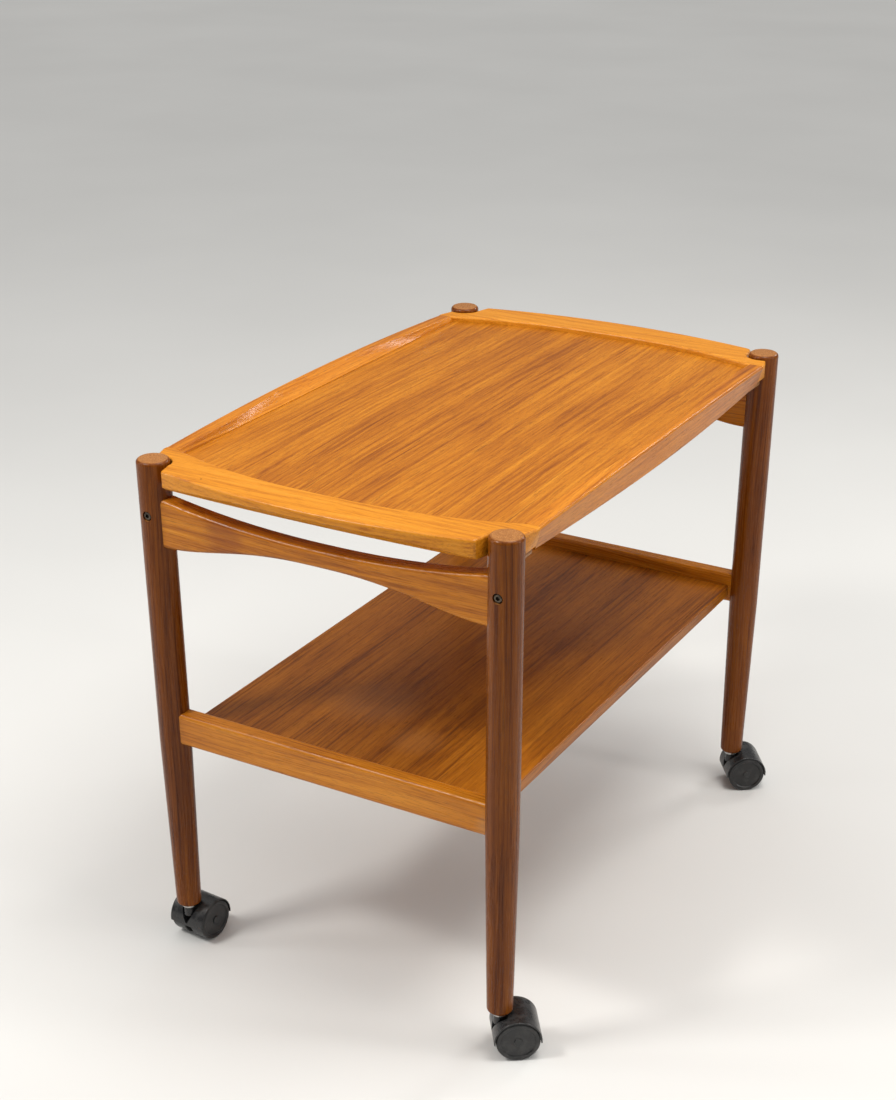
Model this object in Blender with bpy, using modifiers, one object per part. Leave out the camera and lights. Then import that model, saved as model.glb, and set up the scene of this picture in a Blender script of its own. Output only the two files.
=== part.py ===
"""A teak serving trolley with a lift-off tray and a lower shelf, on castors, in metres with +Z up.

The origin is on the floor under the middle of the trolley. X runs across its ends, which hold
the rails, and Y runs along its length. The tray lifts straight up off four wooden pegs. Each
castor swivels on its stem, and each of its two wheels turns on the castor's axle.
"""

from math import cos, pi, radians, sin, sqrt, tan

import bmesh
import bpy
from mathutils import Matrix, Vector

# Driving sizes
LEG_SPACING_X = 0.420
LEG_SPACING_Y = 0.664
LEG_LENGTH = 0.5574
LEG_DIAMETER = 0.036

# Clearances
GAP = 0.0003  # between pieces that touch
NOTCH_GAP = 0.0017  # between the tray and a leg, so that the tray lifts off freely
RUNNING_GAP = 0.0006  # between pieces that turn on each other

# Legs, turned, straight down to the shelf and then tapered to the castor
LEG_FOOT_DIAMETER = 0.029
LEG_TAPER_TOP = 0.2214  # height above the foot where the taper starts
LEG_TOP_ROUND = 0.0045
LEG_FOOT_ROUND = 0.0045

# Castors
WHEEL_DIAMETER = 0.049
WHEEL_WIDTH = 0.020
WHEEL_EDGE = 0.0026
WHEEL_RIM = 0.0050
WHEEL_FACE_RECESS = 0.0012
AXLE_DIAMETER = 0.0046
AXLE_GRIP = 0.0095  # how far the axle reaches into each wheel
HOOD_WALL = 0.0015
HOOD_WEB = 0.008
HOOD_HUB = 0.013
HOOD_TO_LEG = 0.0020
CASTOR_TRAIL = 0.018
CASTOR_BOSS_DIAMETER = 0.0145
CASTOR_BOSS_LENGTH = 0.012
CASTOR_BOSS_DROP = 0.0052  # from the leg's foot to the top of the boss
STEM_DIAMETER = 0.0100
STEM_LOWER_DIAMETER = 0.0060
STEM_REACH = 0.033  # into the leg
COLLAR_DIAMETER = 0.0175
COLLAR_THICKNESS = 0.0024
SOCKET_WALL = 0.0014
SOCKET_LENGTH = 0.038
SOCKET_FLANGE_DIAMETER = 0.0190
SOCKET_FLANGE = 0.0013

# Upper end rails: a concave top edge, an arched lower edge and a tenon at each end
UPPER_RAIL_THICKNESS = 0.022
UPPER_RAIL_TOP_BELOW_LEG_TOP = 0.0405
UPPER_RAIL_END_DEPTH = 0.056
UPPER_RAIL_DIP = 0.0155
UPPER_RAIL_ARCH = 0.0195
UPPER_RAIL_ROUND = 0.0045
UPPER_TENON_HEIGHT = 0.034

# Lower end rails
LOWER_RAIL_THICKNESS = 0.020
LOWER_RAIL_TOP = 0.2609  # above the legs' feet
LOWER_RAIL_DEPTH = 0.039
LOWER_RAIL_ROUND = 0.0045
LOWER_TENON_HEIGHT = 0.022

TENON_THICKNESS = 0.012
TENON_PAST_LEG_AXIS = 0.0065

# Shelf between the lower rails
SHELF_BELOW_RAIL_TOP = 0.0165
SHELF_THICKNESS = 0.015
SHELF_LIPPING = 0.009
SHELF_TONGUE = 0.005
SHELF_TONGUE_THICKNESS = 0.006
SHELF_SIDE_CLEARANCE = 0.0005
SHELF_EDGE_ROUND = 0.0012

# Tray
TRAY_BELOW_LEG_TOP = 0.0040
SIDE_RIM_THICKNESS = 0.025
END_RIM_THICKNESS = 0.021
PANEL_RECESS = 0.0065
PANEL_THICKNESS = 0.006
PANEL_INSET = 0.005  # from the leg axis in to the panel's visible long edge
PANEL_TONGUE = 0.005
PANEL_SHOULDER = 0.0015  # from the panel's top down to its tongue
RIM_LIP = 0.0010
RIM_ROUND = 0.0028
SIDE_RIM_RISE = 0.0055
SIDE_RIM_BOW = 0.0035
SIDE_RIM_TIP_INSET = 0.002  # the rim's corner stands this far inside the leg's outer side
SIDE_RIM_TOP_INSET = 0.003  # the corner's inner wall leans out by this
SIDE_RIM_UNDERCUT = 0.008
SIDE_RIM_CREST = 0.0050
SIDE_RIM_HOLLOW = 0.0008
SIDE_RIM_STATIONS = 16
END_RIM_OUTER_BOW = 0.0205
END_RIM_INNER_BOW = 0.0315
END_TIP_BESIDE_LEG = 0.006
END_TIP_PAST_LEG = 0.001
SIDE_TIP_BEFORE_LEG = 0.0195
SEAM_BEFORE_LEG = 0.0235
GRIP_FACE = 0.008
GRIP_FACE_AT_TIP = 0.019
GRIP_RUN = 0.0185
GRIP_RUN_AT_TIP = 0.003
NOTCH_SIDE_ANGLE = -62
NOTCH_END_ANGLE = -184
SIDE_TIP_ROUND = 0.0022
END_TIP_ROUND = 0.0030

# Pegs that carry the tray, and the screws that lock the upper rails
PEG_DIAMETER = 0.008
PEG_REACH = 0.028
PEG_DEPTH = 0.010
SCREW_HEAD_DIAMETER = 0.0096
SCREW_HEAD_THICKNESS = 0.0045
SCREW_HEAD_ROUND = 0.0012
SCREW_HEAD_SINK = 0.0012
SCREW_DRIVE = 0.0042
SCREW_DRIVE_DEPTH = 0.0022
SCREW_DIAMETER = 0.0058
SCREW_BELOW_LEG_TOP = 0.060
INSERT_DIAMETER = 0.0092
INSERT_LENGTH = 0.0085

# How finely the shapes are made
CREASE_ANGLE = radians(32)
BEVEL_ANGLE = radians(35)
FLAT_ANGLE = radians(0.05)
MERGE_DISTANCE = 1e-6
SPIN_MERGE_DISTANCE = 1e-5
TURNED_SEGMENTS = 24
SMALL_SEGMENTS = 16
AXLE_SEGMENTS = 12
ROUND_STEPS = 3
RAIL_STEPS = 16
RIM_STEPS = 14
RIM_OUTER_STEPS = 12
NOTCH_STEPS = 7
HOOD_STEPS = 12
WEB_STEPS = 8

# Powers that set how the shaped edges curve between their middle and their ends
RAIL_DIP_POWER = 2.2
RAIL_ARCH_POWER = 1.4
RIM_INNER_POWER = 2.5
RIM_CREST_POWER = 3.5
GRIP_POWER = 1.5

# The hood and its web, in degrees round the axle from the way the castor trails
HOOD_START, HOOD_END = -4, 186
WEB_START, WEB_END = -2, 184
HUB_START, HUB_END, HUB_STEP = 210, 330, 30

# Places that follow from the sizes above
HALF_X = LEG_SPACING_X / 2
HALF_Y = LEG_SPACING_Y / 2
LEG_RADIUS = LEG_DIAMETER / 2
WHEEL_RADIUS = WHEEL_DIAMETER / 2
HOOD_RADIUS = WHEEL_RADIUS + RUNNING_GAP + HOOD_WALL
HOOD_WIDTH = HOOD_WEB + 2 * (RUNNING_GAP + WHEEL_WIDTH)
FOOT_FLAT_RADIUS = LEG_FOOT_DIAMETER / 2 - LEG_FOOT_ROUND
# The castor holds the leg's rounded foot just clear of the hood as it swivels
FOOT_ROUND_ABOVE_AXLE = sqrt((HOOD_RADIUS + HOOD_TO_LEG + LEG_FOOT_ROUND) ** 2
                             - (CASTOR_TRAIL - FOOT_FLAT_RADIUS) ** 2)
FOOT_Z = WHEEL_RADIUS + FOOT_ROUND_ABOVE_AXLE - LEG_FOOT_ROUND
LEG_TOP_Z = FOOT_Z + LEG_LENGTH
RIM_TOP_Z = LEG_TOP_Z - TRAY_BELOW_LEG_TOP
RIM_BOTTOM_Z = RIM_TOP_Z - SIDE_RIM_THICKNESS
END_RIM_BOTTOM_Z = RIM_TOP_Z - END_RIM_THICKNESS
PANEL_TOP_Z = RIM_TOP_Z - PANEL_RECESS
PANEL_HALF_X = HALF_X - PANEL_INSET
RIM_SIDE_X = HALF_X + LEG_RADIUS - SIDE_RIM_TIP_INSET
SEAM_Y = HALF_Y - LEG_RADIUS - SEAM_BEFORE_LEG
TIP_X = HALF_X - LEG_RADIUS - END_TIP_BESIDE_LEG
TIP_Y = HALF_Y + LEG_RADIUS + END_TIP_PAST_LEG
NOTCH_RADIUS = LEG_RADIUS + NOTCH_GAP
UPPER_RAIL_TOP_Z = LEG_TOP_Z - UPPER_RAIL_TOP_BELOW_LEG_TOP
LOWER_RAIL_TOP_Z = FOOT_Z + LOWER_RAIL_TOP
SHELF_TOP_Z = LOWER_RAIL_TOP_Z - SHELF_BELOW_RAIL_TOP
SHELF_HALF_X = HALF_X - LEG_RADIUS - SHELF_SIDE_CLEARANCE
SCREW_Z = LEG_TOP_Z - SCREW_BELOW_LEG_TOP
PEG_Z = RIM_BOTTOM_Z - GAP - PEG_DIAMETER / 2

# Each corner's name and the side of X and Y that it stands on
CORNERS = {
    "front_right": (1, -1),
    "front_left": (-1, -1),
    "back_right": (1, 1),
    "back_left": (-1, 1),
}
# The way each castor trails, in degrees from +X towards +Y
CASTOR_YAW = {"front_right": 35, "front_left": 86, "back_right": 35, "back_left": 145}
ENDS = {"front": -1, "back": 1}
SIDES = {"left": -1, "right": 1}


# Scene and materials

for old in list(bpy.data.objects):
    bpy.data.objects.remove(old, do_unlink=True)

trolley = bpy.data.collections.new("serving_trolley")
cutters = bpy.data.collections.new("cutters")
bpy.context.scene.collection.children.link(trolley)
bpy.context.scene.collection.children.link(cutters)


def finish(name, colour, roughness, metallic=0.0):
    """A Principled material of one colour."""
    material = bpy.data.materials.new(name)
    material.use_nodes = True
    shader = material.node_tree.nodes["Principled BSDF"]
    shader.inputs["Base Color"].default_value = (*colour, 1.0)
    shader.inputs["Roughness"].default_value = roughness
    shader.inputs["Metallic"].default_value = metallic
    return material


LEG_TEAK = finish("leg_teak", (0.26, 0.085, 0.022), 0.38)
RAIL_TEAK = finish("rail_teak", (0.42, 0.165, 0.035), 0.40)
TRAY_TEAK = finish("tray_teak", (0.48, 0.200, 0.040), 0.38)
PANEL_TEAK = finish("panel_teak", (0.44, 0.175, 0.035), 0.36)
PEG_WOOD = finish("peg_wood", (0.34, 0.150, 0.050), 0.55)
DARK_STEEL = finish("dark_steel", (0.055, 0.050, 0.045), 0.42, 1.0)
BRIGHT_STEEL = finish("bright_steel", (0.56, 0.55, 0.53), 0.24, 1.0)
HOOD_PLASTIC = finish("hood_plastic", (0.014, 0.014, 0.015), 0.34)
WHEEL_PLASTIC = finish("wheel_plastic", (0.010, 0.010, 0.011), 0.42)


# Tools for making solids

def add(name, mesh, material, parent=None, cutter=False):
    """An object for a mesh, in the trolley's collection or among the cutters."""
    thing = bpy.data.objects.new(name, mesh)
    (cutters if cutter else trolley).objects.link(thing)
    if material:
        mesh.materials.append(material)
    if parent:
        thing.parent = parent
        thing.matrix_parent_inverse = parent.matrix_world.inverted()
    if cutter:
        thing.hide_render = True
        thing.display_type = "WIRE"
    return thing


def mesh_of(shape, name, smooth=True):
    """A mesh made from a bmesh, with its flat faces kept crisp."""
    mesh = bpy.data.meshes.new(name)
    shape.to_mesh(mesh)
    shape.free()
    if smooth:
        mesh.shade_smooth()
        mesh.set_sharp_from_angle(angle=CREASE_ANGLE)
    return mesh


def box(low, high):
    """A bmesh box between two corners."""
    low, high = Vector(low), Vector(high)
    shape = bmesh.new()
    bmesh.ops.create_cube(shape, size=1.0)
    bmesh.ops.scale(shape, vec=high - low, verts=shape.verts)
    bmesh.ops.translate(shape, vec=(low + high) / 2, verts=shape.verts)
    return shape


def rod(radius, start, end, segments=SMALL_SEGMENTS):
    """A bmesh cylinder between two points."""
    start, end = Vector(start), Vector(end)
    shape = bmesh.new()
    bmesh.ops.create_cone(shape, cap_ends=True, segments=segments, radius1=radius, radius2=radius,
                          depth=(end - start).length)
    turn = (end - start).to_track_quat("Z", "Y").to_matrix().to_4x4()
    place = Matrix.Translation((start + end) / 2) @ turn
    bmesh.ops.transform(shape, matrix=place, verts=shape.verts)
    return shape


def cut(thing, cutter, operation="DIFFERENCE"):
    """A Boolean of one object by another."""
    boolean = thing.modifiers.new(f"{operation.lower()}_{cutter.name}", "BOOLEAN")
    boolean.operation = operation
    boolean.solver = "EXACT"
    boolean.object = cutter


def cutter_from(name, shape):
    return add(name, mesh_of(shape, name, smooth=False), None, cutter=True)


def rounded(corners, steps=ROUND_STEPS):
    """An outline with each corner (x, y, radius) replaced by an arc."""
    outline = []
    for i, (x, y, radius) in enumerate(corners):
        here = Vector((x, y))
        if radius == 0:
            outline.append(here)
            continue
        before = (Vector(corners[i - 1][:2]) - here).normalized()
        after = (Vector(corners[(i + 1) % len(corners)][:2]) - here).normalized()
        half = before.angle(after) / 2
        centre = here + (before + after).normalized() * radius / sin(half)
        first = here + before * radius / tan(half) - centre
        sweep = (2 * half - pi) * (1 if before.cross(after) > 0 else -1)
        for step in range(steps + 1):
            turn = Matrix.Rotation(sweep * step / steps, 2)
            outline.append(centre + turn @ first)
    return outline


def plate(name, outline, thickness, upright=False):
    """A mesh of a flat outline with a thickness, centred on it.

    The outline lies in XY, or in XZ where upright is set.
    """
    curve = bpy.data.curves.new(name, "CURVE")
    curve.dimensions = "2D"
    curve.fill_mode = "BOTH"
    curve.extrude = thickness / 2
    spline = curve.splines.new("POLY")
    spline.points.add(len(outline) - 1)
    for point, (x, y) in zip(spline.points, outline):
        point.co = (x, y, 0, 1)
    spline.use_cyclic_u = True
    drawn = bpy.data.objects.new(name, curve)
    trolley.objects.link(drawn)
    depsgraph = bpy.context.evaluated_depsgraph_get()
    mesh = bpy.data.meshes.new_from_object(drawn.evaluated_get(depsgraph))
    bpy.data.objects.remove(drawn, do_unlink=True)
    bpy.data.curves.remove(curve)
    shape = bmesh.new()
    shape.from_mesh(mesh)
    bmesh.ops.remove_doubles(shape, verts=shape.verts, dist=MERGE_DISTANCE)
    bmesh.ops.dissolve_limit(shape, angle_limit=FLAT_ANGLE, verts=shape.verts,
                             edges=shape.edges)
    if upright:
        bmesh.ops.rotate(shape, matrix=Matrix.Rotation(radians(90), 3, "X"), verts=shape.verts)
    bmesh.ops.recalc_face_normals(shape, faces=shape.faces)
    shape.to_mesh(mesh)
    shape.free()
    mesh.shade_smooth()
    mesh.set_sharp_from_angle(angle=CREASE_ANGLE)
    return mesh


def weigh_edges(mesh, wanted):
    """A bevel weight of one on the edges whose two ends pass the test, and none on the rest."""
    weights = mesh.attributes.new("bevel_weight_edge", "FLOAT", "EDGE")
    for edge, weight in zip(mesh.edges, weights.data):
        ends = [mesh.vertices[i].co for i in edge.vertices]
        weight.value = 1.0 if wanted(*ends) else 0.0


def bevel(thing, width, by_weight=False):
    """Rounded edges on an object."""
    modifier = thing.modifiers.new("rounded_edges", "BEVEL")
    modifier.width = width
    modifier.segments = ROUND_STEPS
    modifier.limit_method = "WEIGHT" if by_weight else "ANGLE"
    modifier.angle_limit = BEVEL_ANGLE
    modifier.use_clamp_overlap = True
    return modifier


def turned(name, profile, material, segments, parent=None, ring=False):
    """A solid turned about Z. The profile runs top to bottom on the outer side.

    A ring's profile closes on itself, clear of the axis.
    """
    mesh = bpy.data.meshes.new(name)
    points = [(r, 0, z) for r, z in profile]
    edges = [(i, i + 1) for i in range(len(points) - 1)]
    if ring:
        edges.append((len(points) - 1, 0))
    mesh.from_pydata(points, edges, [])
    thing = add(name, mesh, material, parent)
    screw = thing.modifiers.new("turned", "SCREW")
    screw.axis = "Z"
    screw.angle = 2 * pi
    screw.steps = segments
    screw.render_steps = segments
    screw.use_merge_vertices = True
    screw.merge_threshold = SPIN_MERGE_DISTANCE
    screw.use_smooth_shade = True
    return thing


def arc(centre_r, centre_z, radius, start, end, steps=ROUND_STEPS):
    """Points on an arc, between two angles in degrees."""
    angles = [radians(start + (end - start) * i / steps) for i in range(steps + 1)]
    return [(centre_r + radius * cos(a), centre_z + radius * sin(a)) for a in angles]


# Legs: one turned piece each, bored for the castor's socket, the tenons, a screw and a peg

def leg_profile():
    bore_radius = STEM_DIAMETER / 2 + GAP + SOCKET_WALL + GAP
    bore_top = SOCKET_LENGTH + GAP
    top = arc(LEG_RADIUS - LEG_TOP_ROUND, LEG_LENGTH - LEG_TOP_ROUND, LEG_TOP_ROUND, 90, 0)
    foot = arc(FOOT_FLAT_RADIUS, LEG_FOOT_ROUND, LEG_FOOT_ROUND, 0, -90)
    bore = [(bore_radius, 0), (bore_radius, bore_top), (0, bore_top)]
    return [(0, LEG_LENGTH), *top, (LEG_RADIUS, LEG_TAPER_TOP), *foot, *bore]


def bore_leg(leg, name, side_x, side_y):
    """The mortises, the screw's hole and the peg's hole of one leg."""
    x, y = side_x * HALF_X, side_y * HALF_Y
    rails = (
        ("upper", UPPER_TENON_HEIGHT, upper_tenon_z()),
        ("lower", LOWER_TENON_HEIGHT, lower_tenon_z()),
    )
    for which, height, z in rails:
        inner, deep = x - side_x * 2 * LEG_RADIUS, x + side_x * (TENON_PAST_LEG_AXIS + GAP)
        half_y, half_z = TENON_THICKNESS / 2 + GAP, height / 2 + GAP
        low = (min(inner, deep), y - half_y, z - half_z)
        high = (max(inner, deep), y + half_y, z + half_z)
        cut(leg, cutter_from(f"mortise_{which}_{name}", box(low, high)))
    outside = y + side_y * 2 * LEG_RADIUS
    seat = y + side_y * (LEG_RADIUS - SCREW_HEAD_SINK - SCREW_HEAD_THICKNESS - GAP)
    head_hole = rod(SCREW_HEAD_DIAMETER / 2 + GAP, (x, outside, SCREW_Z), (x, seat, SCREW_Z))
    cut(leg, cutter_from(f"head_hole_{name}", head_hole))
    shank_hole = rod(SCREW_DIAMETER / 2 + GAP, (x, outside, SCREW_Z), (x, y, SCREW_Z))
    cut(leg, cutter_from(f"shank_hole_{name}", shank_hole))
    insert_end = y - side_y * (TENON_THICKNESS / 2 + 3 * GAP + INSERT_LENGTH)
    insert_hole = rod(INSERT_DIAMETER / 2 + GAP, (x, y, SCREW_Z), (x, insert_end, SCREW_Z))
    cut(leg, cutter_from(f"insert_hole_{name}", insert_hole))
    inside = y - side_y * 2 * LEG_RADIUS
    peg_end = y - side_y * (LEG_RADIUS - PEG_DEPTH - GAP)
    peg_hole = rod(PEG_DIAMETER / 2 + GAP, (x, inside, PEG_Z), (x, peg_end, PEG_Z))
    cut(leg, cutter_from(f"peg_hole_{name}", peg_hole))


def upper_tenon_z():
    return UPPER_RAIL_TOP_Z - UPPER_RAIL_END_DEPTH / 2


def lower_tenon_z():
    return LOWER_RAIL_TOP_Z - LOWER_RAIL_DEPTH / 2


for corner, (side_x, side_y) in CORNERS.items():
    leg = turned(f"leg_{corner}", leg_profile(), LEG_TEAK, TURNED_SEGMENTS)
    leg.location = (side_x * HALF_X, side_y * HALF_Y, FOOT_Z)
    bore_leg(leg, corner, side_x, side_y)


# Screws and inserts that lock the upper rails' tenons

for corner, (side_x, side_y) in CORNERS.items():
    head_top = LEG_RADIUS - SCREW_HEAD_SINK
    under_head = head_top - SCREW_HEAD_THICKNESS
    tip = -(TENON_THICKNESS / 2 + 2 * GAP + INSERT_LENGTH)
    head_radius, shank_radius = SCREW_HEAD_DIAMETER / 2, SCREW_DIAMETER / 2
    dome = arc(head_radius - SCREW_HEAD_ROUND, head_top - SCREW_HEAD_ROUND, SCREW_HEAD_ROUND,
                   90, 0, 2)
    drive_floor = head_top - SCREW_DRIVE_DEPTH
    profile = [(0, drive_floor), (SCREW_DRIVE / 2, drive_floor), (SCREW_DRIVE / 2, head_top), *dome,
               (head_radius, under_head), (shank_radius, under_head), (shank_radius, tip), (0, tip)]
    screw = turned(f"rail_screw_{corner}", profile, DARK_STEEL, SMALL_SEGMENTS)
    screw.location = (side_x * HALF_X, side_y * HALF_Y, SCREW_Z)
    screw.rotation_euler = (radians(-90) * side_y, 0, 0)

    near = -(TENON_THICKNESS / 2 + GAP + GAP / 2)
    inner_radius, outer_radius = SCREW_DIAMETER / 2 + GAP, INSERT_DIAMETER / 2
    ring = [(inner_radius, near), (outer_radius, near), (outer_radius, near - INSERT_LENGTH),
            (inner_radius, near - INSERT_LENGTH)]
    insert = turned(f"screw_insert_{corner}", ring, BRIGHT_STEEL, SMALL_SEGMENTS, ring=True)
    insert.location = screw.location
    insert.rotation_euler = screw.rotation_euler


# End rails: sawn outlines with rounded edges, scribed to the legs and tenoned into them

def smooth_step(t):
    return t * t * (3 - 2 * t)


def span(end, steps):
    """Evenly spaced values from -end to end."""
    return [-end + 2 * end * step / steps for step in range(steps + 1)]


def upper_rail_outline():
    """The concave top and the arched underside, from the middle of one leg to the other."""
    end = HALF_X - LEG_RADIUS / 2
    top, bottom = [], []
    for x in span(end, RAIL_STEPS):
        share = min(1.0, abs(x) / (HALF_X - LEG_RADIUS))
        top.append((x, UPPER_RAIL_TOP_Z - UPPER_RAIL_DIP * (1 - share ** RAIL_DIP_POWER)))
        arch = 1 - smooth_step(share ** RAIL_ARCH_POWER)
        bottom.append((x, UPPER_RAIL_TOP_Z - UPPER_RAIL_END_DEPTH + UPPER_RAIL_ARCH * arch))
    return top[::-1] + bottom


def lower_rail_outline():
    end = HALF_X - LEG_RADIUS / 2
    top, bottom = LOWER_RAIL_TOP_Z, LOWER_RAIL_TOP_Z - LOWER_RAIL_DEPTH
    return [(end, top), (-end, top), (-end, bottom), (end, bottom)]


def end_rail(name, outline, thickness, rounding, tenon_height, tenon_z, side_y):
    rail = add(name, plate(name, outline, thickness, upright=True), RAIL_TEAK)
    rail.location.y = side_y * HALF_Y
    bevel(rail, rounding)
    for which, side_x in SIDES.items():
        x = side_x * HALF_X
        low, high = rail_heights(outline)
        scribe = rod(LEG_RADIUS + GAP, (x, side_y * HALF_Y, low), (x, side_y * HALF_Y, high),
                     TURNED_SEGMENTS)
        cut(rail, cutter_from(f"scribe_{name}_{which}", scribe))
        root, tip = x - side_x * 1.5 * LEG_RADIUS, x + side_x * TENON_PAST_LEG_AXIS
        half_y, half_z = TENON_THICKNESS / 2, tenon_height / 2
        y = side_y * HALF_Y
        tenon = box((min(root, tip), y - half_y, tenon_z - half_z),
                    (max(root, tip), y + half_y, tenon_z + half_z))
        cut(rail, cutter_from(f"tenon_{name}_{which}", tenon), "UNION")
    return rail


def rail_heights(outline):
    """A little below and above an outline."""
    heights = [z for _, z in outline]
    return min(heights) - LEG_RADIUS, max(heights) + LEG_RADIUS


for end, side_y in ENDS.items():
    rail = end_rail(f"upper_rail_{end}", upper_rail_outline(), UPPER_RAIL_THICKNESS,
                    UPPER_RAIL_ROUND, UPPER_TENON_HEIGHT, upper_tenon_z(), side_y)
    for which, side_x in SIDES.items():
        x, y = side_x * HALF_X, side_y * HALF_Y
        hole = rod(SCREW_DIAMETER / 2 + GAP, (x, y - TENON_THICKNESS, SCREW_Z),
                   (x, y + TENON_THICKNESS, SCREW_Z))
        cut(rail, cutter_from(f"tenon_hole_{end}_{which}", hole))

    rail = end_rail(f"lower_rail_{end}", lower_rail_outline(), LOWER_RAIL_THICKNESS,
                    LOWER_RAIL_ROUND, LOWER_TENON_HEIGHT, lower_tenon_z(), side_y)
    face = side_y * (HALF_Y - LOWER_RAIL_THICKNESS / 2)
    deep = face + side_y * (SHELF_TONGUE + 2 * GAP)
    out = face - side_y * LOWER_RAIL_THICKNESS
    tongue_z = SHELF_TOP_Z - SHELF_THICKNESS / 2
    half_z = SHELF_TONGUE_THICKNESS / 2 + GAP
    groove_x = SHELF_HALF_X - SHELF_LIPPING + GAP
    groove = box((-groove_x, min(out, deep), tongue_z - half_z),
                 (groove_x, max(out, deep), tongue_z + half_z))
    cut(rail, cutter_from(f"shelf_groove_{end}", groove))


# Shelf: a board tongued into the lower rails, with a solid lipping along each long edge

shelf_end = HALF_Y - LOWER_RAIL_THICKNESS / 2 - GAP
board_x = SHELF_HALF_X - SHELF_LIPPING
board = add("shelf_board", mesh_of(box((-board_x, -shelf_end, SHELF_TOP_Z - SHELF_THICKNESS),
                                       (board_x, shelf_end, SHELF_TOP_Z)), "shelf_board"), PANEL_TEAK)
tongue_end = shelf_end + SHELF_TONGUE
tongue_half = SHELF_TONGUE_THICKNESS / 2
tongue_z = SHELF_TOP_Z - SHELF_THICKNESS / 2
tongue = box((-board_x, -tongue_end, tongue_z - tongue_half),
             (board_x, tongue_end, tongue_z + tongue_half))
cut(board, cutter_from("shelf_tongue", tongue), "UNION")

for which, side_x in SIDES.items():
    inner, outer = side_x * (board_x + GAP), side_x * SHELF_HALF_X
    strip = mesh_of(box((min(inner, outer), -shelf_end, SHELF_TOP_Z - SHELF_THICKNESS),
                        (max(inner, outer), shelf_end, SHELF_TOP_Z)), f"shelf_lipping_{which}")
    weigh_edges(strip, lambda a, b: abs(abs(a.x) - SHELF_HALF_X) < MERGE_DISTANCE
                and abs(abs(b.x) - SHELF_HALF_X) < MERGE_DISTANCE and abs(a.y - b.y) > LEG_RADIUS)
    lipping = add(f"shelf_lipping_{which}", strip, PANEL_TEAK)
    bevel(lipping, SHELF_EDGE_ROUND, by_weight=True)


# Tray. Its four rims frame a thin panel and are notched round the legs. An empty carries it.

tray = bpy.data.objects.new("tray_lift", None)
tray.location = (0, 0, RIM_BOTTOM_Z)
trolley.objects.link(tray)
bpy.context.view_layer.update()


def inner_y(x):
    """The end rim's inner edge in plan."""
    return SEAM_Y + END_RIM_INNER_BOW * (1 - (abs(x) / PANEL_HALF_X) ** RIM_INNER_POWER)


def outer_y(x):
    """The end rim's outer edge in plan."""
    return TIP_Y + END_RIM_OUTER_BOW * (1 - (x / TIP_X) ** 2)


def panel_outline(growth):
    """The panel with its tongue, larger all round by the growth."""
    half_x = PANEL_HALF_X + PANEL_TONGUE + growth
    reach = PANEL_TONGUE + growth
    ends = [(x, inner_y(min(PANEL_HALF_X, max(-PANEL_HALF_X, x))) + reach) for x in span(half_x, RIM_STEPS)]
    return ends[::-1] + [(x, -y) for x, y in ends]


def slab(name, outline, low, high):
    """A level plate between two heights."""
    mesh = plate(name, outline, high - low)
    mesh.transform(Matrix.Translation((0, 0, (low + high) / 2)))
    return mesh


def close_loft(shape, rings):
    """Faces between rings of points that have the same number of points, and a cap at each end."""
    for first, second in zip(rings, rings[1:]):
        for i in range(len(first)):
            j = (i + 1) % len(first)
            shape.faces.new((first[i], first[j], second[j], second[i]))
    shape.faces.new(rings[0][::-1])
    shape.faces.new(rings[-1])
    bmesh.ops.recalc_face_normals(shape, faces=shape.faces)


panel_low = PANEL_TOP_Z - PANEL_THICKNESS
shoulder_z = PANEL_TOP_Z - PANEL_SHOULDER


def panel_mesh():
    """The panel, whose top stands above the tongue that runs in the rims' groove."""
    shape = bmesh.new()
    rings = []
    raised = -PANEL_TONGUE - GAP
    for growth, z in ((0, panel_low), (0, shoulder_z), (raised, shoulder_z), (raised, PANEL_TOP_Z)):
        rings.append([shape.verts.new((x, y, z)) for x, y in panel_outline(growth)])
    close_loft(shape, rings)
    return mesh_of(shape, "tray_panel")


add("tray_panel", panel_mesh(), PANEL_TEAK, tray)
groove = add("panel_groove", slab("panel_groove", panel_outline(GAP), panel_low - GAP, shoulder_z + GAP),
             None, cutter=True)


def notch_points():
    """The notch at the corner on +X and +Y, from the side rim's tip to the end rim's tip."""
    points = [(RIM_SIDE_X, HALF_Y - LEG_RADIUS - SIDE_TIP_BEFORE_LEG, SIDE_TIP_ROUND)]
    for x, y in arc(HALF_X, HALF_Y, NOTCH_RADIUS, NOTCH_SIDE_ANGLE, NOTCH_END_ANGLE,
                        NOTCH_STEPS):
        points.append((x, y, 0))
    points.append((TIP_X, TIP_Y, END_TIP_ROUND))
    return points


def end_rim_outline():
    """The end rim on +Y in plan."""
    corner = [(RIM_SIDE_X, SEAM_Y + GAP / 2, 0), *notch_points()]
    outer = [(x, outer_y(x), 0) for x in reversed(span(TIP_X - 2 * END_TIP_ROUND, RIM_OUTER_STEPS))]
    mirrored = [(-x, y, r) for x, y, r in reversed(corner)]
    inner = [(x, inner_y(x) + GAP / 2, 0) for x in span(PANEL_HALF_X, RIM_STEPS)]
    return rounded(corner + outer + mirrored + inner)


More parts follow.
